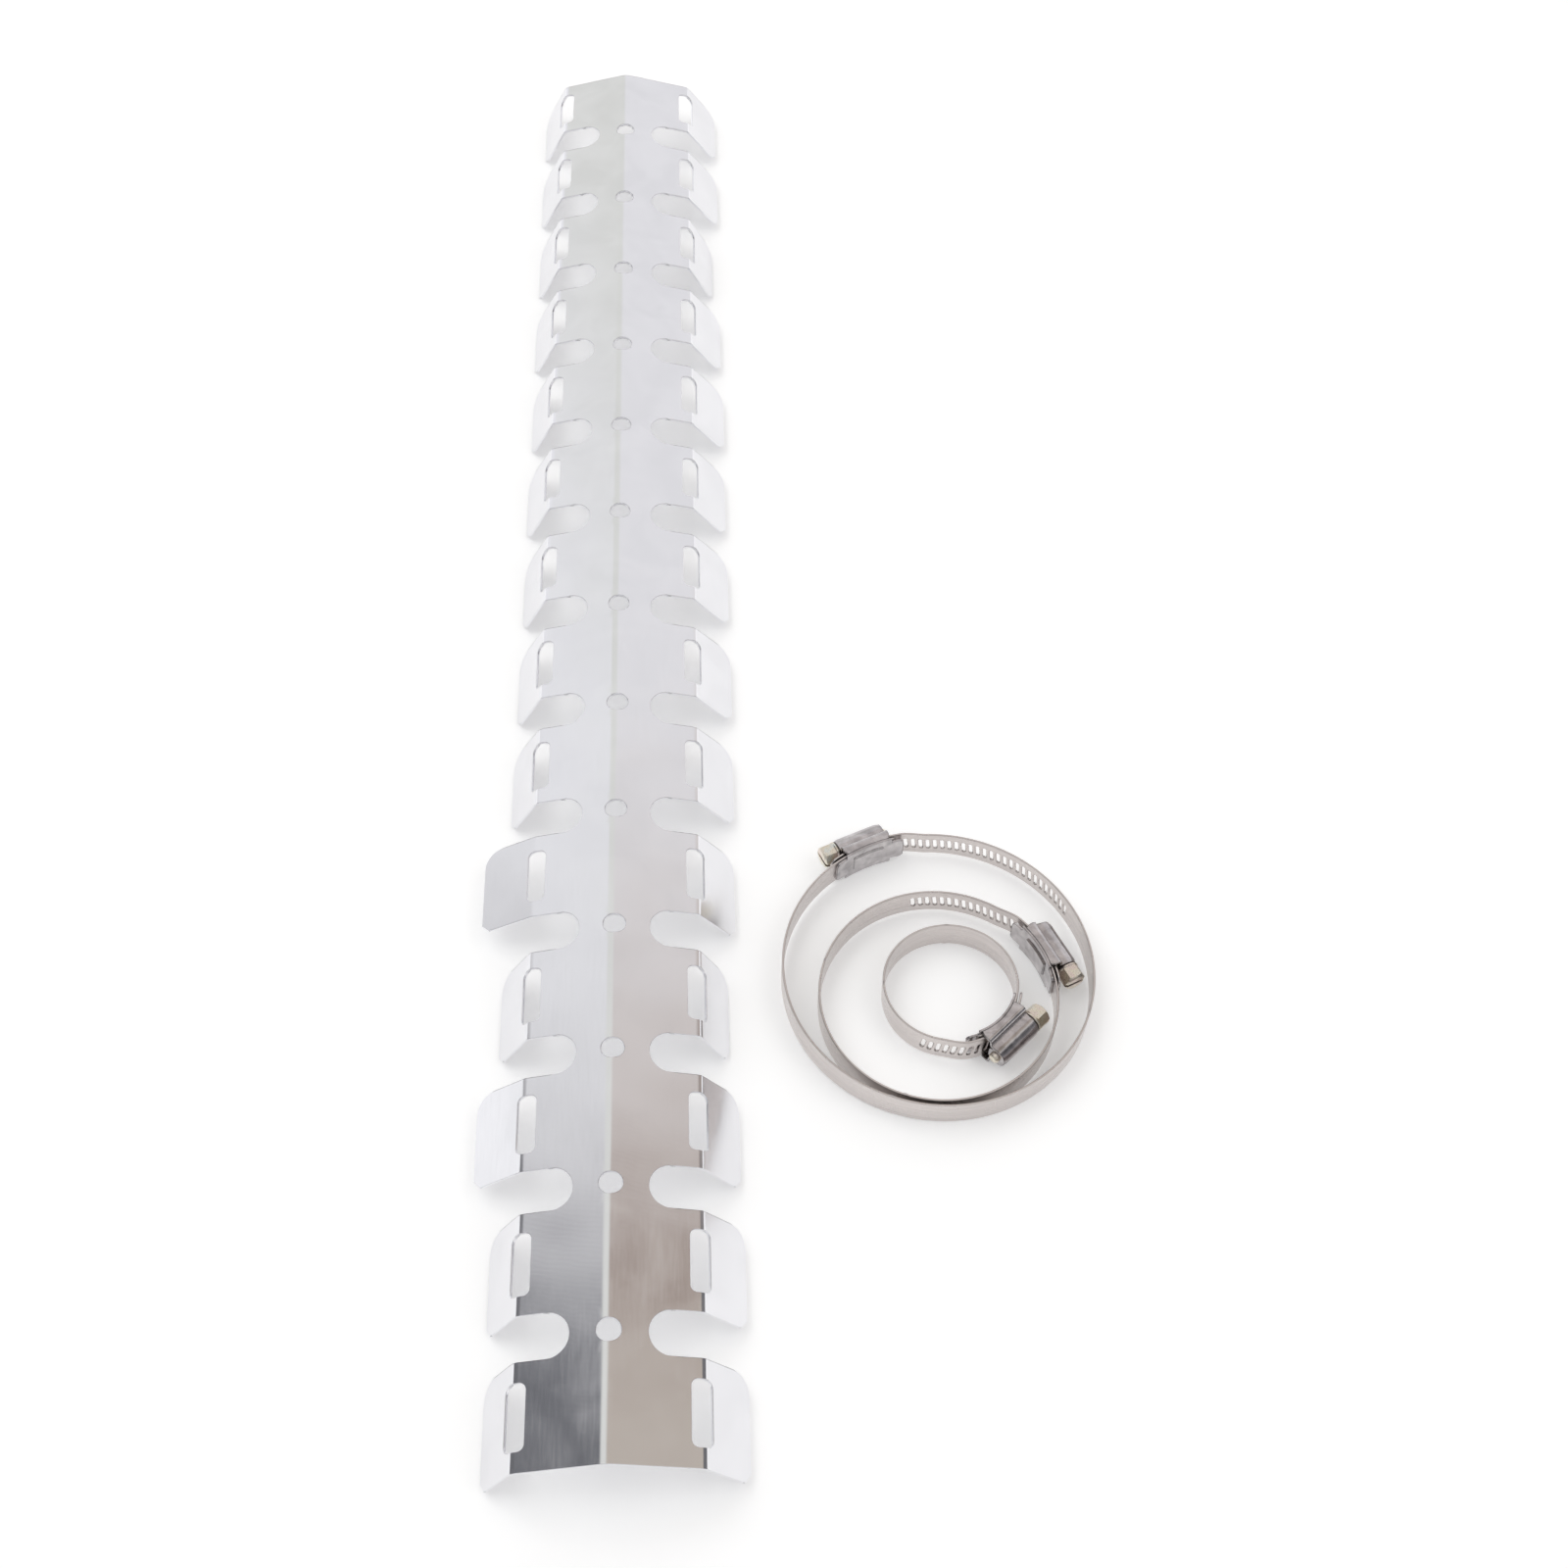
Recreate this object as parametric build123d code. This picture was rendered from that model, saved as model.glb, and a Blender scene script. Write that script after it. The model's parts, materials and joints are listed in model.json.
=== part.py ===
from build123d import *
import math
import os

# Slotted stainless heat shield for an exhaust pipe, lying on the floor on its wing edges,
# with three worm-drive band clamps nested on the floor beside it. Millimetres, +Z up.
# The shield runs along Y and its ridge is at the top.

# ---------------------------------------------------------------- shield
segment_count = 14
segment_pitch = 42.0
notch_width = 12.7
sheet = 0.8
fold_half_width = 25.0      # ridge to the virtual corner of a side fold
ridge_rise = 6.25           # ridge above the side folds
fold_radius = 3.0           # on the sheet's middle
ridge_radius = 9.0          # the ridge is a soft bend, on the sheet's middle
wing_length = 18.4          # from the fold's virtual corner to the wing's edge
neck_half_width = 10.5      # ridge to the round end of a notch
relief_hole_radius = 3.3
hinge_slit = 0.5            # cut across the middle of each neck, where it bends
slot_length = 18.0
slot_inner_reach = 3.4      # from the fold towards the ridge, seen from above
slot_outer_reach = 1.9      # from the fold towards the wing, seen from above
slot_corner = 1.9
front_corner_cut = 2.6
back_corner_radius = 6.0
# how far each wing is bent down, in degrees below level, from the front segment to the back
left_wing_angles = [61, 60, 38, 59, 30, 60, 61, 62, 61, 62, 61, 62, 61, 62]
right_wing_angles = [50, 50, 53, 62, 52, 50, 49, 50, 51, 50, 52, 61, 51, 52]

# ---------------------------------------------------------------- clamps
band = 0.7
band_height = 10.0
band_gap = 0.5              # between the two layers of band inside the housing
hinge_angles = [90, 180, 270]   # where the band bends, from the middle of its housing
band_slit = 0.4
slot_pitch = 2.3
band_slot_width = 1.15
band_slot_height = 4.6
band_slot_slant = 8         # degrees, the lead of the worm
joggle_span = 9.0           # length over which the free end steps out to the second layer
tail_past_housing = 5.0
tail_corner = 2.5           # round corners of the tail's tip
housing_length = 16.0
housing_wall = 0.8
housing_side_gap = 0.4      # between the band's edges and the housing's legs
saddle_tongue = 4.0         # the saddle runs on past the housing at each end
shoulder_gap = 0.5          # between the free end and the cover's shoulders
worm_radius = 2.7
worm_core_radius = 2.0
worm_gap = 0.5              # between the worm's crests and the band
tunnel_gap = 0.3            # between the worm's crests and the cover
journal_radius = 1.7
journal_gap = 0.08
head_across_flats = 6.6
head_length = 4.4
flange_radius = 3.6
flange_length = 0.8
screwdriver_slot = 1.1
screwdriver_slot_depth = 1.6
head_chamfer = 0.5
nest_gap = 0.8              # between the large clamp and the medium one that leans on it
nest_heading = 266.6        # where the medium clamp leans, degrees anticlockwise from +X
small_offset_x = 4.0        # middle of the medium clamp to the middle of the small one
small_offset_y = 3.5

large_radius = 47.2         # on the middle of the band
medium_radius = 35.8
small_radius = 20.2
shield_to_clamps = 50.4     # ridge line to the left side of the large clamp
clamps_from_front = 152.75  # front edge of the shield to the middle of the large clamp

segment_length = segment_pitch - notch_width
notch_radius = notch_width / 2
housing_width = band_height + 2 * (housing_side_gap + housing_wall)
layer = band + band_gap


def wing_drop(angle):
    """Depth of a wing's lowest corner under its fold."""
    return wing_length * math.sin(math.radians(angle)) + sheet / 2 * math.cos(math.radians(angle))


fold_height = max(wing_drop(angle) for angle in left_wing_angles + right_wing_angles)


def section_points(left_angle, right_angle):
    """Corners of the sheet's middle line across one segment, from the left edge to the right."""
    points = []
    for side, angle in ((-1, left_angle), (1, right_angle)):
        turn = math.radians(angle)
        tip = (
            side * (fold_half_width + wing_length * math.cos(turn)),
            fold_height - wing_length * math.sin(turn),
        )
        points.append([tip, (side * fold_half_width, fold_height)])
    ridge = (0, fold_height + ridge_rise)
    return [points[0][0], points[0][1], ridge, points[1][1], points[1][0]]


def moved_aside(points, distance):
    """The same open line moved to its left by a distance, with mitred corners."""
    headings = [
        math.atan2(b[1] - a[1], b[0] - a[0]) for a, b in zip(points, points[1:])
    ]
    before = [headings[0]] + headings
    after = headings + [headings[-1]]
    result = []
    for (x, z), first, second in zip(points, before, after):
        half_turn = (second - first) / 2
        normal = first + half_turn + math.pi / 2
        reach = distance / math.cos(half_turn)
        result.append((x + reach * math.cos(normal), z + reach * math.sin(normal)))
    return result


def sheet_section(left_angle, right_angle):
    middle = section_points(left_angle, right_angle)
    upper, lower = moved_aside(middle, sheet / 2), moved_aside(middle, -sheet / 2)
    outside = [radius + sheet / 2 for radius in (fold_radius, ridge_radius, fold_radius)]
    inside = [radius - sheet / 2 for radius in (fold_radius, ridge_radius, fold_radius)]
    outline = (
        FilletPolyline(*upper, radius=outside)
        + Line(upper[-1], lower[-1])
        + FilletPolyline(*reversed(lower), radius=inside)
        + Line(lower[0], upper[0])
    )
    return make_face(outline)


def wing_corner_tools(side, angle):
    """What trims a wing's two outer corners: a flat at the front, a round at the back."""
    turn = math.radians(angle)
    across = Vector(side * math.cos(turn), 0, -math.sin(turn))
    edge = Vector(side * fold_half_width, 0, fold_height) + across * wing_length
    wing = Plane(origin=edge, x_dir=across, z_dir=across.cross(Vector(0, 1, 0)))
    front = -segment_length / 2 if wing.y_dir.Y > 0 else segment_length / 2
    outward = math.copysign(1, front)
    cut = front_corner_cut
    flat = make_face(
        Polyline(
            (1, front + outward),
            (1, front - outward * (cut + 1)),
            (-cut - 1, front + outward),
            close=True,
        )
    )
    radius = back_corner_radius
    corner = Pos(-radius / 2 + 0.5, -front + outward * radius / 2 - outward * 0.5) * Rectangle(
        radius + 1, radius + 1
    )
    round_off = corner - Pos(-radius, -front + outward * radius) * Circle(radius)
    round_off -= Pos(-radius - 0.5, -front) * Rectangle(1, 4 * radius)
    round_off -= Pos(0, -front + outward * (radius + 0.5)) * Rectangle(4 * radius, 1)
    return [extrude(wing * shape, amount=3, both=True) for shape in (flat, round_off)]


def notch_outline(side):
    """One notch seen from above, about the middle of its neck: parallel sides, round inner end."""
    bend = side * (neck_half_width + notch_radius)
    mouth = side * 2 * (fold_half_width + wing_length)
    return make_face(
        Line((mouth, -notch_radius), (bend, -notch_radius))
        + ThreePointArc((bend, -notch_radius), (side * neck_half_width, 0), (bend, notch_radius))
        + Line((bend, notch_radius), (mouth, notch_radius))
        + Line((mouth, notch_radius), (mouth, -notch_radius))
    )


def make_segment(number):
    """One stiff segment of the shield, with half a neck at each end that has a neighbour."""
    left_angle, right_angle = left_wing_angles[number], right_wing_angles[number]
    reach = segment_pitch / 2 - hinge_slit / 2
    front = segment_length / 2 if number == 0 else reach
    back = segment_length / 2 if number == segment_count - 1 else reach
    face = Plane.XZ * sheet_section(left_angle, right_angle)
    body = Pos(0, back, 0) * extrude(face, amount=front + back)
    tall = 4 * fold_height
    for end in (-1, 1):
        neck = end * segment_pitch / 2
        body -= Pos(0, neck, 0) * Cylinder(relief_hole_radius, tall)
        for side in (-1, 1):
            body -= Pos(0, neck, 0) * extrude(notch_outline(side), amount=tall)
    for side, angle in ((-1, left_angle), (1, right_angle)):
        opening = RectangleRounded(slot_inner_reach + slot_outer_reach, slot_length, slot_corner)
        middle = fold_half_width + (slot_outer_reach - slot_inner_reach) / 2
        body -= Pos(side * middle, 0, 0) * extrude(opening, amount=tall)
        for tool in wing_corner_tools(side, angle):
            body -= tool
    return Pos(0, number * segment_pitch, 0) * body


# ---------------------------------------------------------------- one clamp, in its own frame
# The ring's axis is Z with the band's lower edge at 0. The housing is on +X, its screw head
# towards +Y. The fixed end starts in the housing and runs anticlockwise, so the free end
# comes back to the housing from -Y, passes over the fixed end and shows as a short tail.


def at_angle(radius, degrees):
    return (radius * math.cos(math.radians(degrees)), radius * math.sin(math.radians(degrees)))


def band_sector(radius, start, end):
    """A plain stretch of band between two angles."""
    middle = (start + end) / 2
    outer, inner = radius + band / 2, radius - band / 2
    outline = (
        ThreePointArc(at_angle(outer, start), at_angle(outer, middle), at_angle(outer, end))
        + Line(at_angle(outer, end), at_angle(inner, end))
        + ThreePointArc(at_angle(inner, end), at_angle(inner, middle), at_angle(inner, start))
        + Line(at_angle(inner, start), at_angle(outer, start))
    )
    return extrude(make_face(outline), amount=band_height)


def free_end_radius(radius, angle, joggle_start, joggle_end):
    """Radius of the free end's middle line: it steps out by one layer along the joggle."""
    share = min(max((angle - joggle_start) / (joggle_end - joggle_start), 0), 1)
    return radius + layer * share * share * (3 - 2 * share)


def housing_half_angle(radius):
    return math.degrees(housing_length / 2 / radius)


def free_end(radius, slots_from):
    """The perforated end of the band, from the last hinge to the tail's tip."""
    start = hinge_angles[-1] + math.degrees(band_slit / 2 / radius)
    joggle_end = 360 - housing_half_angle(radius) - math.degrees(3.0 / radius)
    joggle_start = joggle_end - math.degrees(joggle_span / radius)
    end = 360 + housing_half_angle(radius) + math.degrees(tail_past_housing / radius)
    steps = [start, joggle_start]
    steps += [joggle_start + (joggle_end - joggle_start) * share for share in (0.5, 1)]
    steps += [end]

    def point(angle, aside):
        return at_angle(free_end_radius(radius, angle, joggle_start, joggle_end) + aside, angle)

    outline = Line(point(start, -band / 2), point(start, band / 2))
    for side in (band / 2, -band / 2):
        for first, second in zip(steps, steps[1:]):
            outline += ThreePointArc(
                point(first, side), point((first + second) / 2, side), point(second, side)
            )
    outline += Line(point(end, band / 2), point(end, -band / 2))
    body = extrude(make_face(outline), amount=band_height)
    tip = Pos(-tail_corner / 2 + 0.5, 0) * Rectangle(tail_corner + 1, band_height + 2)
    tip -= Pos(-1.5 * tail_corner, 0) * RectangleRounded(3 * tail_corner, band_height, tail_corner)
    trim = Pos(0, 0, band_height / 2) * extrude(Plane.YZ * tip, amount=2 * layer, both=True)
    body -= Pos(*point(end, 0), 0) * Rot(0, 0, end) * trim
    pitch_angle = math.degrees(slot_pitch / radius)
    count = int((end - math.degrees(3.0 / radius) - slots_from) / pitch_angle)
    for index in range(count):
        angle = slots_from + index * pitch_angle
        body -= band_slot(free_end_radius(radius, angle, joggle_start, joggle_end), angle)
    return body


def band_slot(radius, angle):
    """The cutter for one slanted slot of the perforated stretch."""
    slot = RectangleRounded(band_slot_width, band_slot_height, band_slot_width * 0.45)
    cutter = extrude(Plane.YZ * (Rot(0, 0, band_slot_slant) * slot), amount=band, both=True)
    return Rot(0, 0, angle) * (Pos(radius, 0, band_height / 2) * cutter)


def screw_axis_radius(radius):
    return radius + layer + band / 2 + worm_gap + worm_radius


def make_housing(radius):
    """The folded cover: legs astride the band, a round tunnel over the worm and a wall at
    each end of the tunnel that carries the screw."""
    axis = screw_axis_radius(radius)
    foot = radius - band / 2 - housing_length**2 / 8 / radius
    shoulder = radius + layer + band / 2 + shoulder_gap
    tunnel = worm_radius + tunnel_gap

    def omega(grown):
        legs = Pos((foot + shoulder + grown) / 2, 0) * Rectangle(
            shoulder + grown - foot, housing_width - 2 * (housing_wall - grown)
        )
        walls = Pos((shoulder + axis) / 2, 0) * Rectangle(axis - shoulder, 2 * (tunnel + grown))
        return legs + walls + Pos(axis, 0) * Circle(tunnel + grown)

    section = omega(housing_wall) - omega(0)
    shell = extrude(Plane.XZ * section, amount=housing_length / 2, both=True)
    for end in (-1, 1):
        middle = end * (housing_length / 2 - housing_wall / 2)
        wall = Pos(axis, middle, 0) * Rot(90, 0, 0) * Cylinder(tunnel + 0.1, housing_wall)
        wall -= Pos(shoulder - 5, middle, 0) * Box(10, 2, 20)
        shell += wall
        shell -= Pos(axis, middle, 0) * Rot(90, 0, 0) * Cylinder(journal_radius + journal_gap, 3)
    shell -= Pos(0, 0, -housing_width) * Cylinder(radius - band / 2, 4 * housing_width)
    return Pos(0, 0, band_height / 2) * shell


def make_saddle(radius):
    """The curved plate inside the ring that the housing's legs stand on."""
    half_angle = housing_half_angle(radius) + math.degrees(saddle_tongue / radius)
    outer, inner = radius - band / 2, radius - band / 2 - housing_wall
    plate = Cylinder(outer, housing_width) - Cylinder(inner, 2 * housing_width)
    keep = Pos(outer, 0, 0) * Box(2 * outer, 2 * outer * math.sin(math.radians(half_angle)), 40)
    plate = plate & keep
    tongue_width = band_height - 1.0
    for end in (-1, 1):
        past = end * (housing_length / 2 + 10)
        for up in (-1, 1):
            plate -= Pos(outer, past, up * (tongue_width / 2 + 10)) * Box(20, 20, 20)
    return Pos(0, 0, band_height / 2) * plate


def make_screw(radius):
    """Slotted hexagon head, flange, two journals and the worm, turned about +Y."""
    half = housing_length / 2
    inside = half - housing_wall - 0.25
    head_start = half + 0.3 + flange_length
    outline = [
        (0, -half - 1.4),
        (1.3, -half - 1.4),
        (journal_radius, -half - 0.8),
        (journal_radius, -inside),
        (worm_core_radius, -inside),
    ]
    turns = int(2 * inside / slot_pitch)
    first = -turns * slot_pitch / 2
    for turn in range(turns):
        start = first + turn * slot_pitch
        outline += [
            (worm_core_radius, start + 0.35),
            (worm_radius, start + 0.85),
            (worm_radius, start + 1.45),
            (worm_core_radius, start + 1.95),
        ]
    outline += [
        (worm_core_radius, inside),
        (journal_radius, inside),
        (journal_radius, half + 0.3),
        (flange_radius, half + 0.3),
        (flange_radius, head_start),
        (0, head_start),
    ]
    turned = revolve(make_face(Polyline(*outline, close=True)), Axis.Y)
    top = head_start + head_length
    hexagon = RegularPolygon(head_across_flats / 2, 6, major_radius=False)
    head = extrude(Plane.XZ.offset(-head_start) * hexagon, amount=-head_length)
    flat = head_across_flats / 2
    crown = [(0, head_start - 1), (flat + head_length, head_start - 1)]
    crown += [(flat + head_length, top - head_length - head_chamfer), (flat - head_chamfer, top), (0, top)]
    head = head & revolve(make_face(Polyline(*crown, close=True)), Axis.Y)
    head -= Pos(0, top, 0) * Box(3 * flat, 2 * screwdriver_slot_depth, screwdriver_slot)
    return Pos(screw_axis_radius(radius), 0, band_height / 2) * (turned + head)


def make_clamp(name, radius, slots_from):
    """All pieces of one clamp in its own frame, by node name."""
    trim = math.degrees(band_slit / 2 / radius)
    first = -housing_half_angle(radius) - math.degrees((saddle_tongue - 1) / radius)
    first += math.degrees(2.0 / radius)
    pieces = {
        name + "_band_fixed_end": band_sector(radius, first, hinge_angles[0] - trim),
        name + "_band_second": band_sector(radius, hinge_angles[0] + trim, hinge_angles[1] - trim),
        name + "_band_third": band_sector(radius, hinge_angles[1] + trim, hinge_angles[2] - trim),
        name + "_band_free_end": free_end(radius, slots_from),
        name + "_housing": make_housing(radius),
        name + "_saddle": make_saddle(radius),
        name + "_screw": make_screw(radius),
    }
    return pieces


def clamp_place(radius, centre_x, centre_y, angle, flipped):
    """Where a clamp lies: on the lower edge of its housing and the far edge of its band."""
    overhang = (housing_width - band_height) / 2
    tilt = -math.degrees(math.asin(overhang / (2 * radius + 4)))
    stand = Pos(-radius, 0, 0) * Rot(0, tilt, 0) * Pos(radius, 0, 0)
    if flipped:
        stand = stand * Pos(0, 0, band_height / 2) * Rot(180, 0, 0) * Pos(0, 0, -band_height / 2)
    return Pos(centre_x, centre_y, 0) * Rot(0, 0, angle) * stand


front_edge = -segment_length / 2
large_x = shield_to_clamps + large_radius
large_y = front_edge + clamps_from_front
lean_x, lean_y = at_angle(large_radius - medium_radius - band - nest_gap, nest_heading)
medium_x, medium_y = large_x + lean_x, large_y + lean_y
small_x, small_y = medium_x + small_offset_x, medium_y + small_offset_y
clamps = {
    "large_clamp": (large_radius, large_x, large_y, 114, False, 272.5),
    "medium_clamp": (medium_radius, medium_x, medium_y, 25, True, 285),
    "small_clamp": (small_radius, small_x, small_y, -46, False, 285),
}

nodes = {}
for number in range(segment_count):
    nodes[f"shield_segment_{number + 1:02d}"] = make_segment(number)
places = {}
for name, (radius, x, y, angle, flipped, slots_from) in clamps.items():
    places[name] = clamp_place(radius, x, y, angle, flipped)
    for node, shape in make_clamp(name, radius, slots_from).items():
        nodes[node] = places[name] * shape

whole = Compound(children=[Compound(shape.solids()) for shape in nodes.values()]).bounding_box()
to_origin = Pos(-whole.center().X, -whole.center().Y, -whole.min.Z)

if __name__ == "__main__":
    os.makedirs("parts", exist_ok=True)
    for node, shape in nodes.items():
        solids = (to_origin * shape).solids()
        kept = solids[0] if len(solids) == 1 else Compound(solids)
        export_step(kept, f"parts/{node}.step")
    print(len(nodes), "nodes,", whole.size)
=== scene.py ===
import bpy
import bmesh
import json
import math
import numpy as np
from mathutils import Matrix, Vector


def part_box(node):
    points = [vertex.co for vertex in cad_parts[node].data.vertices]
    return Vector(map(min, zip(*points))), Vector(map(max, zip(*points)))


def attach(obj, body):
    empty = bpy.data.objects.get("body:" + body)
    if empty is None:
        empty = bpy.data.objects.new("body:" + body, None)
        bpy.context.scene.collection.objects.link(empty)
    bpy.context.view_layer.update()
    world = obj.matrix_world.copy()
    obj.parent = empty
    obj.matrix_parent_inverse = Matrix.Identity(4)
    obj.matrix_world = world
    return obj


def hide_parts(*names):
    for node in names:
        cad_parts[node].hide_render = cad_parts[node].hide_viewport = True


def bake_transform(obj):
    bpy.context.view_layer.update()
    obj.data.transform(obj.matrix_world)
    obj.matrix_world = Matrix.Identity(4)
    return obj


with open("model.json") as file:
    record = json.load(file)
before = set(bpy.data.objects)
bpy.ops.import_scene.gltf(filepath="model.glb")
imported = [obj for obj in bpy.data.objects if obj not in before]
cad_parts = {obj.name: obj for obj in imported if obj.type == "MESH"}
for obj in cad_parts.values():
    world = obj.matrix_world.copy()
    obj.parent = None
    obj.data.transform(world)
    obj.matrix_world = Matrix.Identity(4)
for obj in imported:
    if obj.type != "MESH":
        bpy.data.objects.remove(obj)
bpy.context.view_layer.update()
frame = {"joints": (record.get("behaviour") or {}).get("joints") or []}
joints = {joint["name"]: joint for joint in frame["joints"]}
mm = 0.001

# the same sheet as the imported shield, millimetres and degrees
shield = {
    "segments": 14,
    "pitch": 42.0,
    "notchWidth": 12.7,
    "sheet": 0.8,
    "foldHalfWidth": 25.0,
    "ridgeRise": 6.25,
    "foldRadius": 3.0,
    "ridgeRadius": 9.0,
    "wingLength": 18.4,
    "neckHalfWidth": 10.5,
    "reliefHole": 3.3,
    "slotInner": 21.6,       # from the ridge, seen from above
    "slotOuter": 26.9,
    "slotHalfLength": 9.0,
    "slotCorner": 1.9,
    "frontCut": 2.6,
    "backRound": 6.0,
    "edgeRound": 0.16,
}

# what a clamp's pieces share, millimetres
clamp = {
    "band": 0.7,
    "bandHeight": 10.0,
    "layer": 1.2,            # between the two layers of band inside the housing, middle to middle
    "slotPitch": 2.3,        # the worm's pitch too
    "housingLength": 16.0,
    "wall": 0.8,
    "sideGap": 0.4,
    "shoulderGap": 0.5,
    "wormRadius": 2.7,
    "wormGap": 0.5,
    "tunnelGap": 0.3,
    "journal": 1.7,
}

# where the camera stands, from the ridge at the shield's near end on the floor, millimetres
view = {
    "fromNearEnd": (25.04, -171.58, 553.8),
    "lens": 47.96,
    "sensor": 36.0,
    "right": (0.99903, -0.03565, 0.02597),
    "forward": (0.04193, 0.58499, -0.80996),
}


# helpers for sheet metal

# heading grows by bend x distance along each stretch; the line is the running sum of its cosine and sine
def bentLine(start, heading, stretches):
    lengths = np.array([stretch[0] for stretch in stretches])
    bends = np.array([stretch[1] for stretch in stretches])
    knots = np.concatenate([[0], np.cumsum(lengths)])
    headings = heading + np.concatenate([[0], np.cumsum(lengths * bends)])
    fine = np.linspace(0, knots[-1], 8001)
    angle = np.interp(fine, knots, headings)
    step = fine[1]
    first = start[0] + np.concatenate([[0], np.cumsum(np.cos((angle[1:] + angle[:-1]) / 2) * step)])
    second = start[1] + np.concatenate([[0], np.cumsum(np.sin((angle[1:] + angle[:-1]) / 2) * step)])

    def at(distance):
        return (
            np.interp(distance, fine, first),
            np.interp(distance, fine, second),
            np.interp(distance, knots, headings),
        )

    return at, fine, first


# evenly spaced stops in each stretch, joined end to end without repeats
def stops(*stretches):
    parts = [np.linspace(a, b, n + 1) for a, b, n in stretches]
    return np.concatenate([parts[0]] + [part[1:] for part in parts[1:]])


# stops that crowd towards both ends: the middle plus half the length times a cosine
def crowded(low, high, count):
    return (low + high) / 2 - (high - low) / 2 * np.cos(np.linspace(0, np.pi, count + 1))


# points in the same cell of a fine grid are one: the cell's number is floor(place x cells per mm + shift)
def weld(points, cellsPerMm):
    shift = 0.137
    cells = np.floor(points * cellsPerMm + shift).astype(np.int64)
    _, first, where = np.unique(cells, axis=0, return_index=True, return_inverse=True)
    return first, where.reshape(-1)


# the faces of a grid of points
def gridQuads(index):
    corners = [index[:-1, :-1], index[:-1, 1:], index[1:, 1:], index[1:, :-1]]
    return np.stack(corners, -1).reshape(-1, 4)


# grids of flat coordinates become one sheet: points that fall on each other are made one
def joinStrips(strips):
    points, quads, base = [], [], 0
    for across, along in strips:
        rows, columns = across.shape
        index = base + np.arange(rows * columns).reshape(rows, columns)
        quads.append(gridQuads(index))
        points.append(np.stack([across.ravel(), along.ravel()], 1))
        base += rows * columns
    points, quads = np.concatenate(points), np.concatenate(quads)
    first, where = weld(points, 400)
    return points[first], where[quads]


# the edges that only one face uses, each with its face on the left
def rimEdges(quads):
    edges = np.concatenate([quads[:, [k, (k + 1) % 4]] for k in range(4)])
    edges = edges[edges[:, 0] != edges[:, 1]]
    big = edges.max() + 1
    forward, backward = edges[:, 0] * big + edges[:, 1], edges[:, 1] * big + edges[:, 0]
    return edges[~np.isin(forward, backward)]


# a flat sheet gets its thickness along the normal of its place, and its rim a small round:
# the two faces stop short of the outline by the round, and the rim starts that far below them
def thicken(name, points, quads, place, thickness, edgeRound, isSeam=None):
    rim = rimEdges(quads)
    run = points[rim[:, 1]] - points[rim[:, 0]]
    out = np.stack([run[:, 1], -run[:, 0]], 1) / np.maximum(np.linalg.norm(run, axis=1), 1e-9)[:, None]
    middle = (points[rim[:, 0]] + points[rim[:, 1]]) / 2
    seam = isSeam(middle[:, 0], middle[:, 1]) if isSeam else np.zeros(len(rim), bool)
    outward = np.zeros_like(points)
    np.add.at(outward, rim[~seam, 0], out[~seam])
    np.add.at(outward, rim[~seam, 1], out[~seam])
    size = np.linalg.norm(outward, axis=1)
    onSeam = np.zeros(len(points), bool)
    onSeam[rim[seam].ravel()] = True
    real = (size > 1e-6) & ~onSeam
    outward[real] /= size[real][:, None]
    outward[~real] = 0
    miter = np.ones(len(points))
    miter[real] = 1 / np.clip(size[real] / 2, 0.6, 1)
    inset = points - outward * (edgeRound * miter)[:, None]
    count, half = len(points), thickness / 2
    top, normal = place(inset[:, 0], inset[:, 1], half)
    bottom, _ = place(inset[:, 0], inset[:, 1], -half)
    ringUsed = np.unique(rim)
    ringIndex = np.full(count, -1)
    ringIndex[ringUsed] = np.arange(len(ringUsed))
    edge = points[ringUsed]
    depth = np.where(real[ringUsed], half - edgeRound, half)
    upper, _ = place(edge[:, 0], edge[:, 1], depth)
    lower, _ = place(edge[:, 0], edge[:, 1], -depth)
    further = edge + outward[ringUsed] * 0.01
    beyond, _ = place(further[:, 0], further[:, 1], depth)
    side = beyond - upper
    length = np.linalg.norm(side, axis=1)
    side = np.where(length[:, None] > 1e-7, side / np.maximum(length, 1e-9)[:, None], normal[ringUsed])
    upperAt, lowerAt = 2 * count + ringIndex, 2 * count + len(ringUsed) + ringIndex
    faces = [quads, quads[:, ::-1] + count]
    a, b = rim[:, 0], rim[:, 1]
    faces.append(np.stack([b, a, upperAt[a], upperAt[b]], 1))
    faces.append(np.stack([upperAt[b], upperAt[a], lowerAt[a], lowerAt[b]], 1))
    faces.append(np.stack([lowerAt[b], lowerAt[a], a + count, b + count], 1))
    places = np.concatenate([top, bottom, upper, lower])
    normals = np.concatenate([normal, -normal, side, np.where(length[:, None] > 1e-7, side, -side)])
    flat = np.concatenate([points, points, edge, edge])
    return makeMesh(name, places, np.concatenate(faces), normals, flat)


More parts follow.
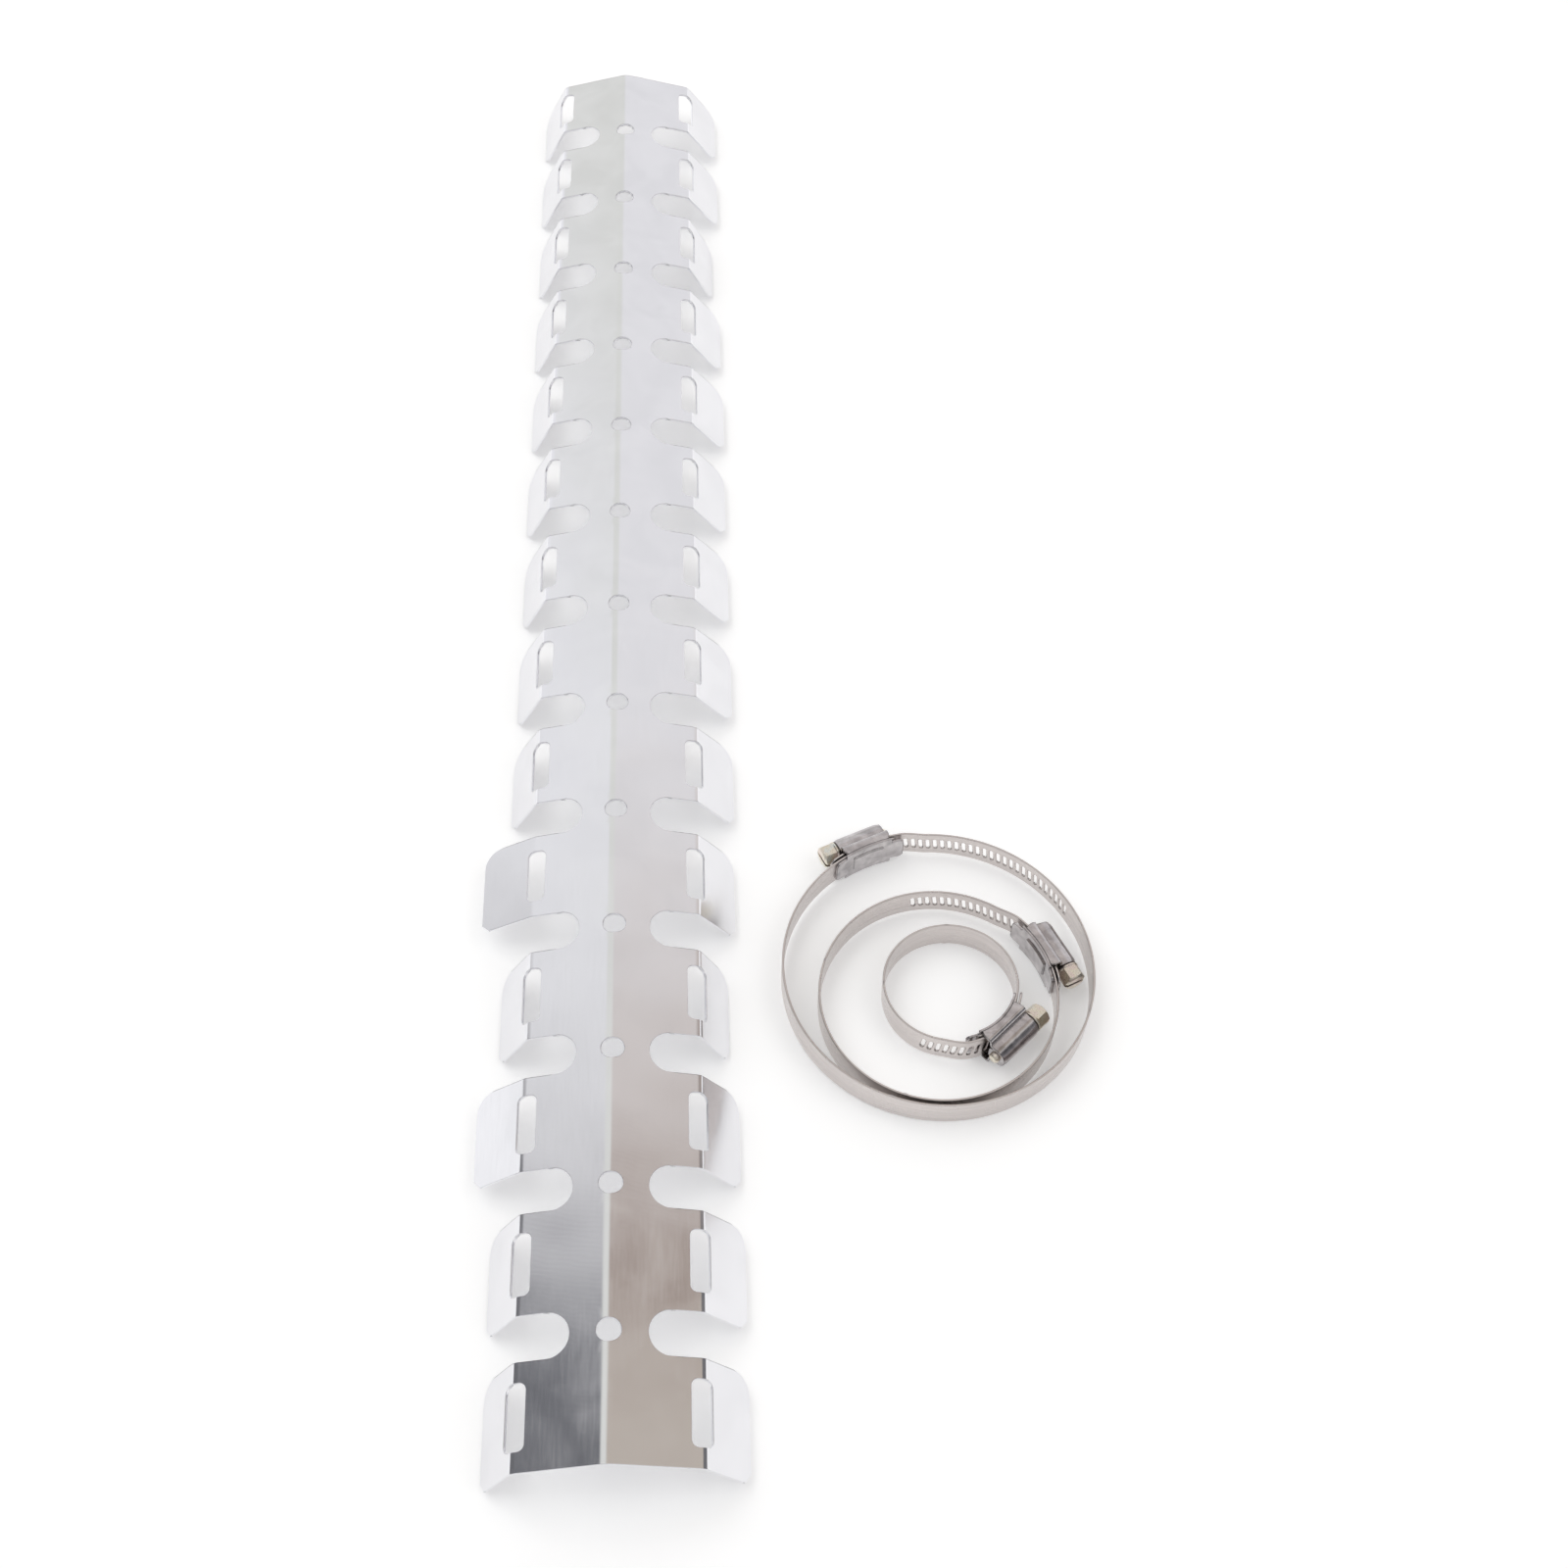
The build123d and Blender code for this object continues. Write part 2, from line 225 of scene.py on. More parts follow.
# points in millimetres become a mesh in metres; a face whose corners fall together loses one
def makeMesh(name, places, faces, normals=None, flat=None):
    mesh = bpy.data.meshes.new(name)
    first, where = weld(places, 5000)
    faces = where[faces]
    following = np.roll(faces, -1, axis=1)
    distinct = faces != following
    sides = distinct.sum(1)
    whole = faces[sides == 4].tolist()
    short = [row[keep].tolist() for row, keep in zip(faces[sides == 3], distinct[sides == 3])]
    mesh.from_pydata((places[first] * mm).tolist(), [], whole + short)
    mesh.validate()
    mesh.update()
    mesh.shade_smooth()
    if normals is not None:
        mesh.normals_split_custom_set_from_vertices(normals[first].tolist())
    if flat is not None:
        corners = np.empty(len(mesh.loops), np.int32)
        mesh.loops.foreach_get("vertex_index", corners)
        mesh.uv_layers.new(name="flat").data.foreach_set("uv", (flat[first][corners] * mm).ravel())
    piece = bpy.data.objects.new(name, mesh)
    bpy.context.scene.collection.objects.link(piece)
    return piece


# a closed mesh without its own normals: every face looks outwards, and steep edges stay sharp
def faceOutwards(piece):
    mesh = bmesh.new()
    mesh.from_mesh(piece.data)
    bmesh.ops.recalc_face_normals(mesh, faces=mesh.faces)
    mesh.to_mesh(piece.data)
    mesh.free()
    piece.data.set_sharp_from_angle(angle=math.radians(38))


# the shield

neckJoints = [joints[f"neck_{k:02d}_bend"] for k in range(1, shield["segments"])]
ridgeX = neckJoints[0]["pos_m"][0] / mm
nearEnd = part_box("shield_segment_01")[0].y / mm
halfSegment = (shield["pitch"] - shield["notchWidth"]) / 2
firstMiddle = nearEnd + halfSegment
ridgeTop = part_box("shield_segment_01")[1].z / mm - shield["sheet"] / 2


# the wing's angle from how far it reaches: reach = fold + length x cos + half the sheet x sin
def wingAngle(number, side):
    low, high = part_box(f"shield_segment_{number:02d}")
    reach = (high.x / mm - ridgeX) if side > 0 else (ridgeX - low.x / mm)
    tries = np.radians(np.linspace(5, 85, 8001))
    wingReach = shield["wingLength"] * np.cos(tries)
    reached = shield["foldHalfWidth"] + wingReach + shield["sheet"] / 2 * np.sin(tries)
    return tries[np.argmin(abs(reached - reach))]


# half of the sheet's section, from the ridge outwards: round ridge, flat panel, round fold, flat wing
def halfSection(angle):
    slope = math.atan2(shield["ridgeRise"], shield["foldHalfWidth"])
    ridgeArc = shield["ridgeRadius"] * slope
    foldArc = shield["foldRadius"] * (angle - slope)
    foldTangent = shield["foldRadius"] * math.tan((angle - slope) / 2)
    panel = math.hypot(shield["ridgeRise"], shield["foldHalfWidth"])
    panel = panel - shield["ridgeRadius"] * math.tan(slope) - foldTangent
    wing = shield["wingLength"] - foldTangent
    stretches = [
        (ridgeArc, 1 / shield["ridgeRadius"]),
        (panel, 0),
        (foldArc, 1 / shield["foldRadius"]),
        (wing, 0),
    ]
    at, fine, across = bentLine((0, 0), 0, stretches)
    return {"at": at, "fine": fine, "across": across, "edge": ridgeArc + panel + foldArc + wing}


# the distance along half a sheet at which it is x away from the ridge, seen from above
def sheetDistance(half, x):
    return np.interp(x, half["across"], half["fine"])


# flat coordinates (along the sheet from the ridge, along the shield) become points on the bent sheet
def sheetPlace(left, right, middleY):
    def place(across, along, lift):
        onRight = across >= 0
        distance = abs(across)
        x1, drop1, turn1 = right["at"](distance)
        x0, drop0, turn0 = left["at"](distance)
        sign = np.where(onRight, 1.0, -1.0)
        x, drop, turn = (np.where(onRight, r, l) for r, l in ((x1, x0), (drop1, drop0), (turn1, turn0)))
        normal = np.stack([sign * np.sin(turn), np.zeros_like(turn), np.cos(turn)], 1)
        point = np.stack([ridgeX + sign * x, middleY + along, ridgeTop - drop], 1)
        return point + normal * np.broadcast_to(lift, turn.shape)[:, None], normal

    return place


seamReach = shield["neckHalfWidth"] + shield["notchWidth"] / 2
panelSlope = math.atan2(shield["ridgeRise"], shield["foldHalfWidth"])
# shares of the way from the ridge to the seam's end: eight inside the ridge's round, then the flat
roundShare = shield["ridgeRadius"] * panelSlope * math.cos(panelSlope) / seamReach
ridgeShares = np.concatenate([np.linspace(0, roundShare, 9), np.linspace(roundShare, 1, 10)[1:]])


# a strip between an inner and an outer edge, each a distance from the ridge for every row
def strip(inner, outer, rows, shares, side):
    across = inner[:, None] + (outer - inner)[:, None] * shares[None, :]
    along = np.broadcast_to(rows[:, None], across.shape)
    return (across, along) if side > 0 else (-across[:, ::-1], along[:, ::-1])


# the rounded slot: straight sides, with a quarter circle taken off towards each end
def slotNarrowing(rows):
    radius = shield["slotCorner"]
    past = np.clip(abs(rows) - (shield["slotHalfLength"] - radius), 0, radius)
    return radius - np.sqrt(radius**2 - past**2)


# one segment's half: a panel strip, two short strips past the slot's ends and a wing strip
def halfSegmentStrips(half, side):
    slotEnd, corner = shield["slotHalfLength"], shield["slotCorner"]
    rowsSlot = np.concatenate([
        -slotEnd + corner * (1 - np.cos(np.linspace(0, np.pi / 2, 7)))[:-1],
        np.linspace(-slotEnd + corner, slotEnd - corner, 19),
        slotEnd - corner * (1 - np.cos(np.linspace(np.pi / 2, 0, 7)))[1:],
    ])
    cutEnd = -halfSegment + shield["frontCut"]
    rowsFront = stops((-halfSegment, cutEnd, 6), (cutEnd, -slotEnd, 4))
    turn = shield["backRound"] * (1 - np.cos(np.linspace(np.pi / 2, 0, 15)))
    rowsBack = np.unique(np.round(np.concatenate([[slotEnd], halfSegment - turn, [halfSegment]]), 5))
    rowsBack = rowsBack[rowsBack >= slotEnd]
    extra = halfSegment - turn    # where the back corner's round starts beside the slot
    rowsSlot = np.unique(np.round(np.concatenate([rowsSlot, extra[extra < slotEnd]]), 5))
    rows = np.concatenate([rowsFront, rowsSlot[1:], rowsBack[1:]])
    narrowing = slotNarrowing(rows)
    panelEdge = sheetDistance(half, shield["slotInner"] + narrowing)
    wingStart = sheetDistance(half, shield["slotOuter"] - narrowing)
    frontCut = np.clip(rows + halfSegment, 0, shield["frontCut"]) - shield["frontCut"]
    intoRound = np.clip(rows - (halfSegment - shield["backRound"]), 0, shield["backRound"])
    backRound = np.sqrt(shield["backRound"] ** 2 - intoRound**2) - shield["backRound"]
    wingEdge = half["edge"] + frontCut + backRound
    seam = np.full(len(rows), seamReach / math.cos(panelSlope))
    strips = [strip(np.zeros(len(rows)), seam, rows, ridgeShares, side)]
    strips.append(strip(seam, panelEdge, rows, np.linspace(0, 1, 7), side))
    wingShares = np.concatenate([[0, 0.03, 0.06, 0.09, 0.12, 0.16, 0.2], np.linspace(0.28, 1, 9)])
    strips.append(strip(wingStart, wingEdge, rows, wingShares, side))
    for beyond in (rows[rows <= -slotEnd + 1e-6], rows[rows >= slotEnd - 1e-6]):
        inner = sheetDistance(half, shield["slotInner"] + slotNarrowing(beyond))
        outer = sheetDistance(half, shield["slotOuter"] - slotNarrowing(beyond))
        strips.append(strip(inner, outer, beyond, np.linspace(0, 1, 9), side))
    return strips


# one neck's half: from the relief hole's circle to the notch's half circle
def halfNeckStrips(half, side):
    notch, hole = shield["notchWidth"] / 2, shield["reliefHole"]
    rows = np.concatenate([
        -crowded(hole, notch, 9)[::-1][:-1],
        crowded(-hole, hole, 20),
        crowded(hole, notch, 9)[1:],
    ])
    inner = np.sqrt(np.clip(hole**2 - rows**2, 0, None))
    outer = shield["neckHalfWidth"] + notch - np.sqrt(np.clip(notch**2 - rows**2, 0, None))
    return [strip(sheetDistance(half, inner), sheetDistance(half, outer), rows, ridgeShares, side)]


segmentPieces, neckPieces = [], []
for number in range(1, shield["segments"] + 1):
    halves = {side: halfSection(wingAngle(number, side)) for side in (-1, 1)}
    strips = []
    for side in (-1, 1):
        strips += halfSegmentStrips(halves[side], side)
    points, quads = joinStrips(strips)
    place = sheetPlace(halves[-1], halves[1], firstMiddle + (number - 1) * shield["pitch"])
    hasFront, hasBack = number > 1, number < shield["segments"]

    # the two ends of the segment's middle, where a neck goes on
    def isSeam(across, along, hasFront=hasFront, hasBack=hasBack):
        near = abs(across) < seamReach / math.cos(panelSlope)
        atBack, atFront = along > halfSegment - 1e-4, along < -halfSegment + 1e-4
        return near & ((hasBack & atBack) | (hasFront & atFront))

    name, body = f"shield_sheet_{number:02d}", f"shield_segment_{number:02d}"
    piece = thicken(name, points, quads, place, shield["sheet"], shield["edgeRound"], isSeam)
    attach(piece, body)
    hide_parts(body)
    segmentPieces.append(piece)
# a neck ends before the folds, so any wing angle gives its half section
neckHalf = halfSection(math.radians(60))
halfNotch = shield["notchWidth"] / 2
for number in range(1, shield["segments"]):
    points, quads = joinStrips(halfNeckStrips(neckHalf, -1) + halfNeckStrips(neckHalf, 1))
    middleY = firstMiddle + (number - 0.5) * shield["pitch"]
    place = sheetPlace(neckHalf, neckHalf, middleY)
    isSeam = lambda across, along: abs(along) > halfNotch - 1e-4
    name = f"shield_neck_{number:02d}"
    piece = thicken(name, points, quads, place, shield["sheet"], shield["edgeRound"], isSeam)
    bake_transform(piece)
    neckPieces.append(piece)
print("shield:", len(segmentPieces), "segments and", len(neckPieces), "necks")


# the clamps

# a clamp's own frame from its joints: the hinges stand at 90, 180 and 270 degrees from the housing
def clampFrame(name):
    hinges = [joints[f"{name}_band_{arc}_bend"] for arc in ("second", "third", "free_end")]
    quarter, opposite, last = (np.array(joint["pos_m"]) / mm for joint in hinges)
    centre = (quarter + last) / 2
    axisZ = np.array(hinges[0]["axis"])
    axisX = (centre - opposite) / np.linalg.norm(centre - opposite)
    axisY = np.cross(axisZ, axisX)
    origin = centre - axisZ * clamp["bandHeight"] / 2
    return {
        "name": name,
        "radius": np.linalg.norm(quarter - last) / 2,
        "origin": origin,
        "axes": np.stack([axisX, axisY, axisZ]),
    }


# local points or directions of a clamp become row-frame ones
def toRow(where, local):
    return where["origin"] + local @ where["axes"]


def housingHalfAngle(radius):
    return clamp["housingLength"] / 2 / radius


strap = {
    "edgeRound": 0.22,
    "columnStep": 1.2,
    "startBeforeHousing": 1.0,
    "seams": (135, 225),         # degrees from the housing
    "blendHalf": 0.6,            # half of each bending stretch, as a share of the radius
    "joggleSpan": 9.0,
    "joggleToHousing": 3.0,
    "slotWidth": 1.15,
    "slotHeight": 4.6,
    "slotSlant": 8.0,
    # degrees from the housing
    "slotsFrom": {"large_clamp": 272.5, "medium_clamp": 285.0, "small_clamp": 285.0},
    "tail": 5.0,
    "tailPlain": 3.0,
    "tailCorner": 2.5,
}


# the free end steps out by one layer along the joggle, in a smooth step
def freeEndRadius(radius, angle):
    joggleEnd = 2 * np.pi - housingHalfAngle(radius) - strap["joggleToHousing"] / radius
    joggleStart = joggleEnd - strap["joggleSpan"] / radius
    share = np.clip((angle - joggleStart) / (joggleEnd - joggleStart), 0, 1)
    return radius + clamp["layer"] * share * share * (3 - 2 * share)


# flat band coordinates (millimetres round the ring, height) become points on the ring
def bandPlace(where, radiusAt):
    radius = where["radius"]

    def place(across, along, lift):
        angle = across / radius
        reach = radiusAt(angle) + lift
        local = np.stack([reach * np.cos(angle), reach * np.sin(angle), along], 1)
        normal = np.stack([np.cos(angle), np.sin(angle), np.zeros_like(angle)], 1)
        return toRow(where, local), normal @ where["axes"]

    return place


# a plain stretch of band: even columns round the ring, with the rows given
def plainStrip(start, end, tall):
    across = np.linspace(start, end, max(int((end - start) / strap["columnStep"]), 2) + 1)
    grid = np.meshgrid(across, tall)
    return grid[0], grid[1]


# one slotted pitch is two strips that part along the slot: its half width is the circle's at the
# ends and straight between, and nothing above and below, where the strips meet again
def slottedStrips(start, count):
    half, height = strap["slotWidth"] / 2, strap["slotHeight"] / 2
    tall = np.concatenate([
        np.linspace(-clamp["bandHeight"] / 2, -height, 5)[:-1],
        -height + half * (1 - np.cos(np.linspace(0, np.pi / 2, 6)))[:-1],
        np.linspace(-height + half, height - half, 7),
        height - half * (1 - np.cos(np.linspace(np.pi / 2, 0, 6)))[1:],
        np.linspace(height, clamp["bandHeight"] / 2, 5)[1:],
    ])
    past = np.clip(abs(tall) - (height - half), 0, half)
    width = np.where(abs(tall) < height, np.sqrt(np.clip(half**2 - past**2, 0, None)), 0)
    lean = np.clip(tall, -height, height) * math.tan(math.radians(strap["slotSlant"]))
    strips = []
    for index in range(count):
        middle = start + (index + 0.5) * clamp["slotPitch"]
        left, right = middle - clamp["slotPitch"] / 2, middle + clamp["slotPitch"] / 2
        before = (np.full_like(tall, left), middle + lean - width)
        after = (middle + lean + width, np.full_like(tall, right))
        for low, high in (before, after):
            across = low[:, None] + (high - low)[:, None] * np.linspace(0, 1, 4)[None, :]
            along = np.broadcast_to(tall[:, None] + clamp["bandHeight"] / 2, across.shape)
            strips.append((across, along))
    return strips, tall + clamp["bandHeight"] / 2


# the tail's end is a half-rounded tongue: its height shrinks by a quarter circle at each corner
def tailStrip(start, end, heights):
    corner = strap["tailCorner"]
    rounded = end - corner * (1 - np.sin(np.linspace(0, np.pi / 2, 7)))
    across = np.concatenate([np.linspace(start, end - corner, 3)[:-1], rounded])
    past = np.clip(across - (end - corner), 0, corner)
    squeeze = 1 - 2 * (corner - np.sqrt(corner**2 - past**2)) / clamp["bandHeight"]
    middle = clamp["bandHeight"] / 2
    along = middle + (heights[:, None] - middle) * squeeze[None, :]
    return np.broadcast_to(across[None, :], along.shape), along


def buildBand(where):
    name, radius = where["name"], where["radius"]
    plain = lambda angle: np.full_like(angle, radius)
    stepped = lambda angle: freeEndRadius(radius, angle)
    seams = np.radians(strap["seams"]) * radius
    start = -housingHalfAngle(radius) * radius - strap["startBeforeHousing"]
    slotsStart = math.radians(strap["slotsFrom"][name]) * radius
    tailEnd = (2 * np.pi + housingHalfAngle(radius)) * radius + strap["tail"]
    count = int((tailEnd - strap["tailPlain"] - slotsStart) / clamp["slotPitch"])
    slotted, heights = slottedStrips(slotsStart, count)
    slotsEnd = slotsStart + count * clamp["slotPitch"]
    tall = np.linspace(0, clamp["bandHeight"], 9)
    first, opposite = plainStrip(start, seams[0], tall), plainStrip(seams[0], seams[1], tall)
    toSlots, tail = plainStrip(seams[1], slotsStart, heights), tailStrip(slotsEnd, tailEnd, heights)
    # piece: its strips, its radius, the bodies before and after its hinge, the nodes it replaces
    stretches = {
        "fixed_end": ([first], plain, "housing", "band_second", ["fixed_end", "second"]),
        "third": ([opposite], plain, "band_second", "band_third", ["third"]),
        "free_end": ([toSlots, *slotted, tail], stepped, "band_third", "band_free_end", ["free_end"]),
    }
    pieces = []
    for hinge, (key, (strips, radiusAt, before, after, replaced)) in zip((90, 180, 270), stretches.items()):
        points, quads = joinStrips(strips)
        isSeam = lambda across, along: (abs(across - seams[0]) < 1e-3) | (abs(across - seams[1]) < 1e-3)
        place = bandPlace(where, radiusAt)
        piece = thicken(f"{name}_strap_{key}", points, quads, place, clamp["band"], strap["edgeRound"], isSeam)
        angle = math.radians(hinge)
        middle = np.array([radius * math.cos(angle), radius * math.sin(angle), clamp["bandHeight"] / 2])
        middle = toRow(where, middle)
        along = np.array([-math.sin(angle), math.cos(angle), 0]) @ where["axes"] * radius * strap["blendHalf"]
        start, end = Vector((middle - along) * mm), Vector((middle + along) * mm)
        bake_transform(piece)
        for node in replaced:
            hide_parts(f"{name}_band_{node}")
        pieces.append(piece)
    return pieces


# how far the screw's axis is from the ring's middle
def axisRadius(radius):
    return radius + clamp["layer"] + clamp["band"] / 2 + clamp["wormGap"] + clamp["wormRadius"]


cover = {
    "outerBend": 1.1,
    "innerBend": 0.7,
    "edgeRound": 0.2,
    "columnStep": 0.45,
    "legShorter": 0.9,       # at each end
    "crimp": 0.35,           # the tunnel is drawn in over the end walls
    "crimpFrom": 6.4,
    "crimpSpan": 1.2,
    "crimpRise": 2.0,
}


# the cover's section is one bent line: leg, shoulder, half circle over the worm, shoulder, leg
def buildHousing(where):
    radius = where["radius"]
    wall, axis = clamp["wall"], axisRadius(radius)
    half = clamp["bandHeight"] / 2 + clamp["sideGap"] + wall / 2
    tunnel = clamp["wormRadius"] + clamp["tunnelGap"] + wall / 2
    shoulder = radius + clamp["layer"] + clamp["band"] / 2 + clamp["shoulderGap"] + wall / 2
    outerBend, innerBend, quarter = cover["outerBend"], cover["innerBend"], np.pi / 2
    foot = radius - clamp["band"] / 2 - clamp["housingLength"] ** 2 / 8 / radius
    leg = shoulder - foot - outerBend
    ledge = half - tunnel - outerBend - innerBend
    rise = axis - shoulder - innerBend
    stretches = [
        (leg, 0), (outerBend * quarter, 1 / outerBend), (ledge, 0), (innerBend * quarter, -1 / innerBend),
        (rise, 0), (tunnel * np.pi, 1 / tunnel), (rise, 0),
        (innerBend * quarter, -1 / innerBend), (ledge, 0), (outerBend * quarter, 1 / outerBend), (leg, 0),
    ]
    at, fine, _ = bentLine((foot, -half), 0, stretches)
    whole = fine[-1]
    ends = np.cumsum([0] + [length for length, _ in stretches])
    columns = np.unique(np.round(np.concatenate([
        np.linspace(a, b, max(int((b - a) / cover["columnStep"]), 2) + 1)
        for a, b in zip(ends, ends[1:]) if b - a > 1e-6
    ]), 5))
    shares = np.concatenate([-crowded(0.7, 1, 9)[::-1], np.linspace(-0.7, 0.7, 15)[1:-1], crowded(0.7, 1, 9)])
    # the legs are a little shorter than the tunnel, and follow the ring at their feet
    legShare = np.clip((np.minimum(columns, whole - columns)) / leg, 0, 1)
    reach = clamp["housingLength"] / 2 - cover["legShorter"] * (1 - legShare) ** 2
    along = shares[:, None] * reach[None, :]
    across = np.broadcast_to(columns[None, :], along.shape)
    lift = np.sqrt((radius - clamp["band"] / 2) ** 2 - along**2) - foot
    fromEnd = np.minimum(across, whole - across)
    pushed = np.clip(leg - fromEnd, 0, None) / leg
    across = across + np.where(across < whole / 2, 1, -1) * lift * pushed

    def place(u, v, height):
        r, z, turn = at(u)
        nearEnd = np.clip((abs(v) - cover["crimpFrom"]) / cover["crimpSpan"], 0, 1)
        crimp = cover["crimp"] * nearEnd**2 * np.clip((r - shoulder) / cover["crimpRise"], 0, 1)
        normalR, normalZ = np.sin(turn), -np.cos(turn)
        r = r + normalR * (height - crimp)
        z = z + normalZ * (height - crimp)
        local = np.stack([r, -v, z + clamp["bandHeight"] / 2], 1)
        normal = np.stack([normalR, np.zeros_like(r), normalZ], 1)
        return toRow(where, local), normal @ where["axes"]

    points, quads = joinStrips([(across, along)])
    piece = thicken(where["name"] + "_cover", points, quads, place, wall, cover["edgeRound"])
    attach(piece, where["name"] + "_housing")
    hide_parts(where["name"] + "_housing")
    return piece


saddle = {
    "edgeRound": 0.18,
    "tongue": 4.0,
    "tongueCorner": 1.6,
    "tongueNarrower": 0.5,   # than the band, on each side
    "windowHalfLength": 5.6,
    "windowHalfHeight": 3.4,
    "windowSlope": 0.6,
    "windowDepth": 0.55,
}


# the saddle: a curved plate, full width under the cover and narrower past it, with a pressed window
def buildSaddle(where):
    radius = where["radius"]
    middle = radius - clamp["band"] / 2 - clamp["wall"] / 2
    half, full = clamp["housingLength"] / 2, clamp["bandHeight"] / 2 + clamp["sideGap"] + clamp["wall"]
    narrow = clamp["bandHeight"] / 2 - saddle["tongueNarrower"]
    tongue, corner = saddle["tongue"], saddle["tongueCorner"]
    tall = np.unique(np.round(stops((-full, -narrow, 4), (-narrow, narrow, 45), (narrow, full, 4)), 5))
    across, along = np.meshgrid(np.linspace(-half, half, 81), tall)
    strips = [(across, along)]
    inside = tall[abs(tall) <= narrow + 1e-6]
    rounded = half + tongue - corner * (1 - np.sin(np.linspace(0, np.pi / 2, 8)))
    out = np.concatenate([np.linspace(half, half + tongue - corner, 5)[:-1], rounded])
    past = np.clip(out - (half + tongue - corner), 0, corner)
    squeeze = 1 - (corner - np.sqrt(corner**2 - past**2)) / narrow
    grid = inside[:, None] * squeeze[None, :]
    reach = np.broadcast_to(out[None, :], grid.shape)
    strips.append((reach, grid))
    strips.append((-reach[:, ::-1], grid[:, ::-1]))

    def place(u, v, height):
        angle = u / middle
        pressed = np.clip((saddle["windowHalfLength"] - abs(u)) / saddle["windowSlope"], 0, 1)
        pressed = pressed * np.clip((saddle["windowHalfHeight"] - abs(v)) / saddle["windowSlope"], 0, 1)
        reach = middle + height - saddle["windowDepth"] * pressed * pressed * (3 - 2 * pressed)
        local = np.stack([reach * np.cos(angle), reach * np.sin(angle), v + clamp["bandHeight"] / 2], 1)
        normal = np.stack([np.cos(angle), np.sin(angle), np.zeros_like(angle)], 1)
        return toRow(where, local), normal @ where["axes"]

    points, quads = joinStrips(strips)
    piece = thicken(where["name"] + "_base", points, quads, place, clamp["wall"], saddle["edgeRound"])
    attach(piece, where["name"] + "_housing")
    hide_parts(where["name"] + "_saddle")
    return piece


# points given as (distance along the screw, away from it at an angle) about the screw's axis, +Y
def screwPoints(where, along, reach, angle):
    local = np.stack([
        axisRadius(where["radius"]) + reach * np.sin(angle),
        along,
        clamp["bandHeight"] / 2 + reach * np.cos(angle),
    ], -1)
    return toRow(where, local.reshape(-1, 3))


# the faces of a tube of rows x columns: the columns wrap round, and in a ring the rows do as well
def wrapFaces(rows, columns, base=0, ring=False):
    index = base + np.arange(rows * columns).reshape(rows, columns)
    if ring:
        index = np.concatenate([index, index[:1]])
    following = np.roll(index, -1, axis=1)
    return np.stack([index[:-1], index[1:], following[1:], following[:-1]], -1).reshape(-1, 4)


screw = {
    "core": 2.0,
    "endGap": 0.25,          # between the worm and the end walls
    "threadFade": 0.7,
    "threadFill": 1.75,      # how wide the crests are
    "threadSlope": 6.2,
    "flange": 3.6,
    "flangeGap": 0.3,
    "flangeLength": 0.8,
    # the riveted tip: how far past the housing, and its radius
    "tip": [(1.4, 0.0), (1.4, 1.1), (1.25, 1.35)],
    "tipLength": 0.8,
    "headFlats": 6.6,
    "headLength": 4.4,
    "headChamfer": 0.5,
    "headSlope": 0.75,
    "driverSlot": 1.1,
    "driverDepth": 1.6,
}


# worm: radius = core + (crest - core) x a flat-topped wave of (distance / pitch - angle / a turn)
def buildScrew(where):
    half = clamp["housingLength"] / 2
    inside = half - clamp["wall"] - screw["endGap"]
    angle = np.linspace(0, 2 * np.pi, 73)[:-1]
    along = np.linspace(-inside, inside, 230)
    turnGrid, alongGrid = np.meshgrid(angle, along)
    phase = (alongGrid / clamp["slotPitch"] - turnGrid / (2 * np.pi)) % 1
    wave = np.clip(screw["threadFill"] - abs(phase - 0.5) * screw["threadSlope"], 0, 1)
    fade = np.clip((inside - abs(alongGrid)) / screw["threadFade"], 0, 1)
    reach = screw["core"] + (clamp["wormRadius"] - screw["core"]) * wave * fade
    journal, flange = clamp["journal"], screw["flange"]
    flangeStart = half + screw["flangeGap"]
    headStart = half + screw["flangeGap"] + screw["flangeLength"]
    front = [(-half - past, reached) for past, reached in screw["tip"]]
    front += [(-half - screw["tipLength"], journal), (-inside, journal)]
    back = [
        (inside, journal), (flangeStart, journal), (flangeStart, flange - 0.15), (flangeStart + 0.12, flange),
        (headStart - 0.3, flange), (headStart, flange - 0.25), (headStart, 0.0),
    ]
    rowsAlong = np.concatenate([np.array(front)[:, 0], along, np.array(back)[:, 0]])
    flatReach = np.concatenate([np.array(front)[:, 1], np.zeros(len(along)), np.array(back)[:, 1]])
    reachGrid = np.repeat(flatReach[:, None], len(angle), 1)
    reachGrid[len(front):len(front) + len(along)] = reach
    alongAll = np.repeat(rowsAlong[:, None], len(angle), 1)
    turnAll = np.repeat(angle[None, :], len(rowsAlong), 0)
    shaft = screwPoints(where, alongAll, reachGrid, turnAll)
    shaftFaces = wrapFaces(len(rowsAlong), len(angle))
    head, headFaces = screwHead(where, headStart)
    places = np.concatenate([shaft, head])
    faces = np.concatenate([shaftFaces, headFaces + len(shaft)])
    piece = makeMesh(where["name"] + "_worm_screw", places, faces)
    faceOutwards(piece)
    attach(piece, where["name"] + "_screw")
    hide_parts(where["name"] + "_screw")
    return piece


